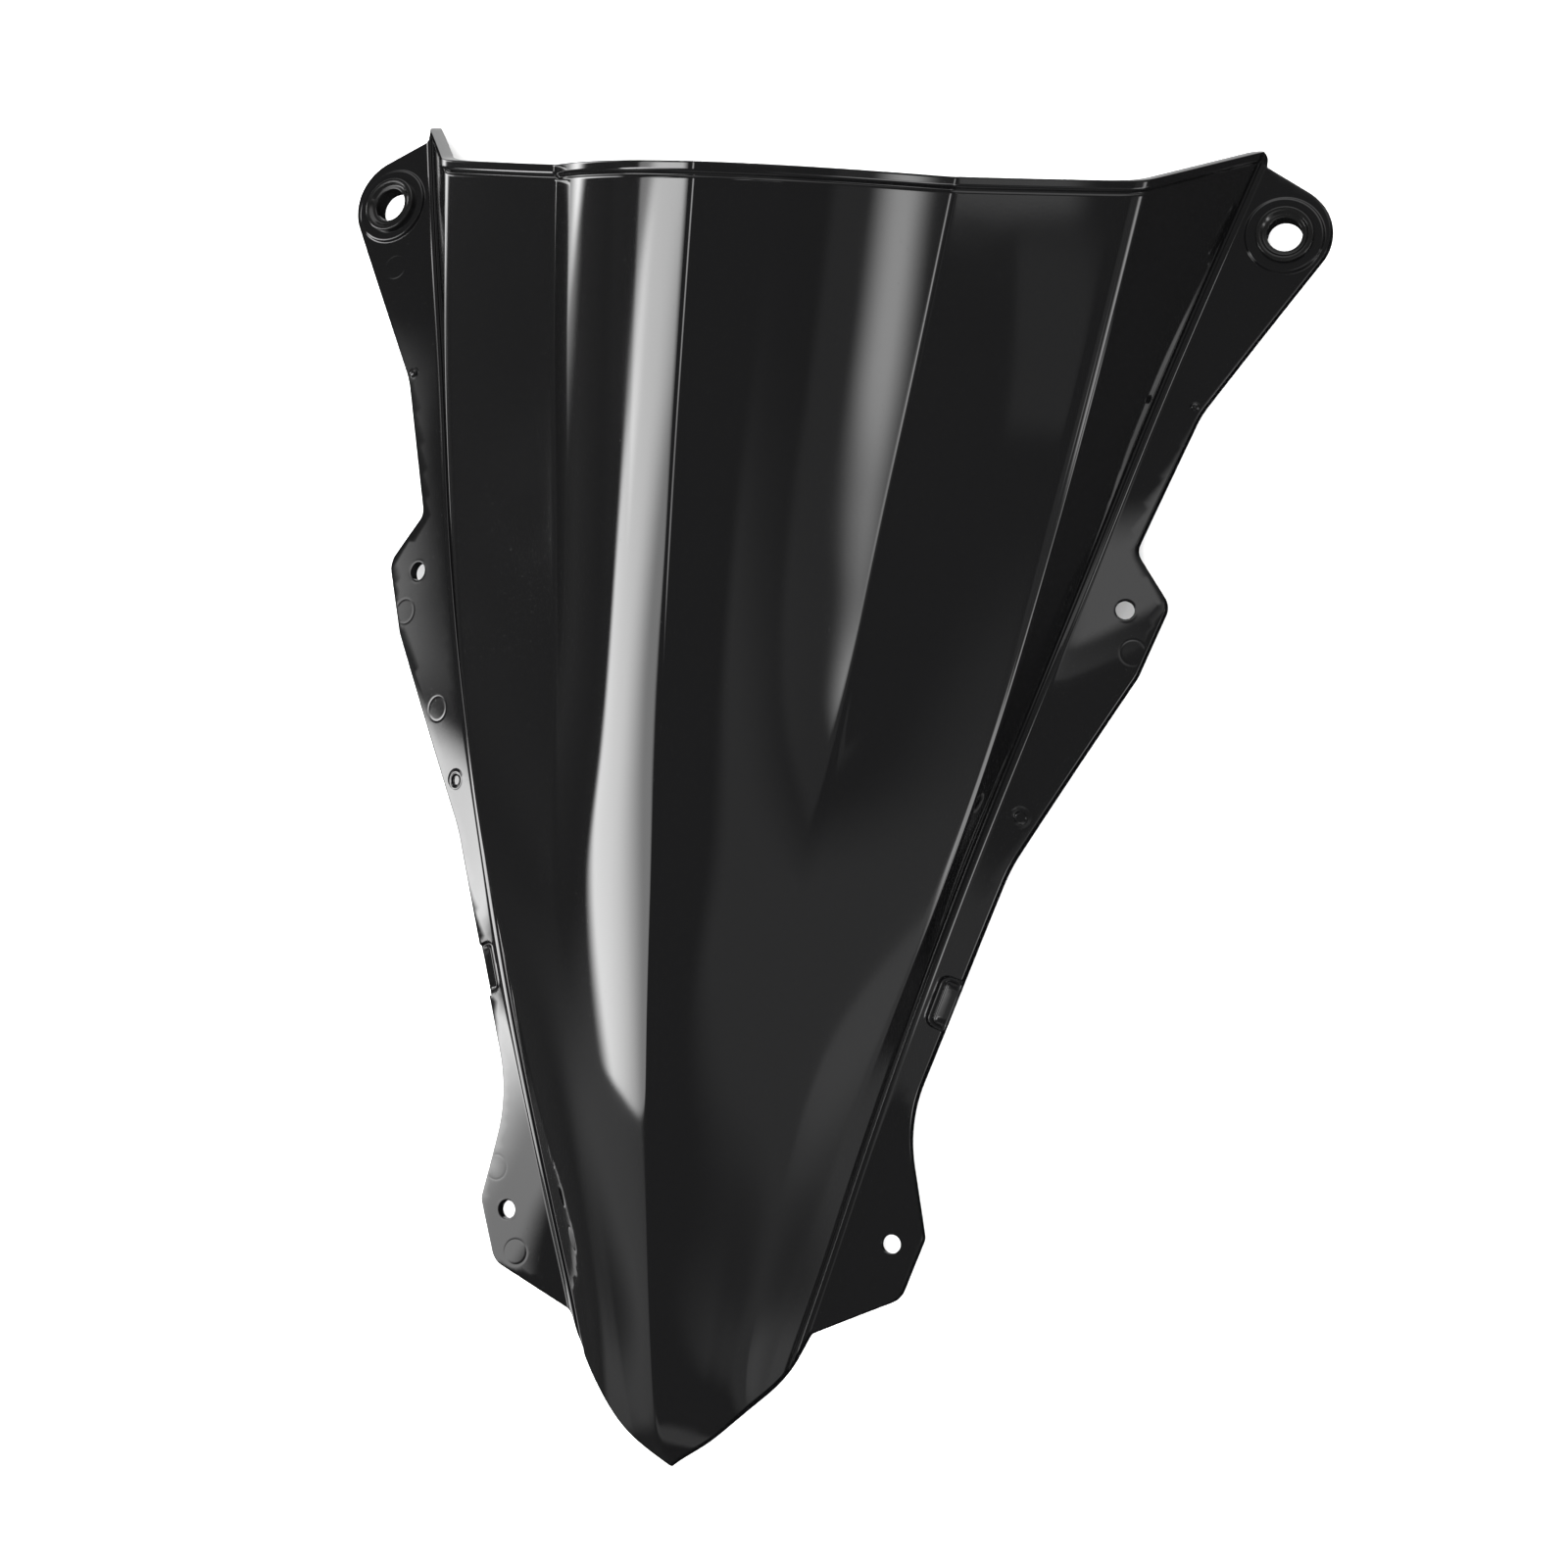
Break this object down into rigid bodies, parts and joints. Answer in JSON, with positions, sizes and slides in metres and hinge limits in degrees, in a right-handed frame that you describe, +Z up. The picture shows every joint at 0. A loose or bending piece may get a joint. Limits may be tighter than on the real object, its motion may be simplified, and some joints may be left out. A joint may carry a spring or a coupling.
{
  "type": "windshield screen",
  "caption": "Gloss black double-bubble motorcycle windscreen: a thin moulded shell with a raised centre, stepped side wings with screw holes, and a grommet in each mirror hole.",
  "frame": {"origin": "centre of the footprint, on the surface that the screen rests on hollow side down", "axes": "+X across the screen, +Y from the nose to the rear lip, +Z up, out of the bubble's crown"},
  "size_m": [0.335, 0.43, 0.1226],
  "materials": {
    "smoked_plastic": "polished, very dark smoke, reads as black",
    "grommet_rubber": "smooth black moulded rubber with a slight sheen"
  },
  "bodies": {
    "root": {"screen_moulding": "smoked_plastic", "mirror_grommet_right": "grommet_rubber", "mirror_grommet_left": "grommet_rubber"}
  },
  "joints": []
}
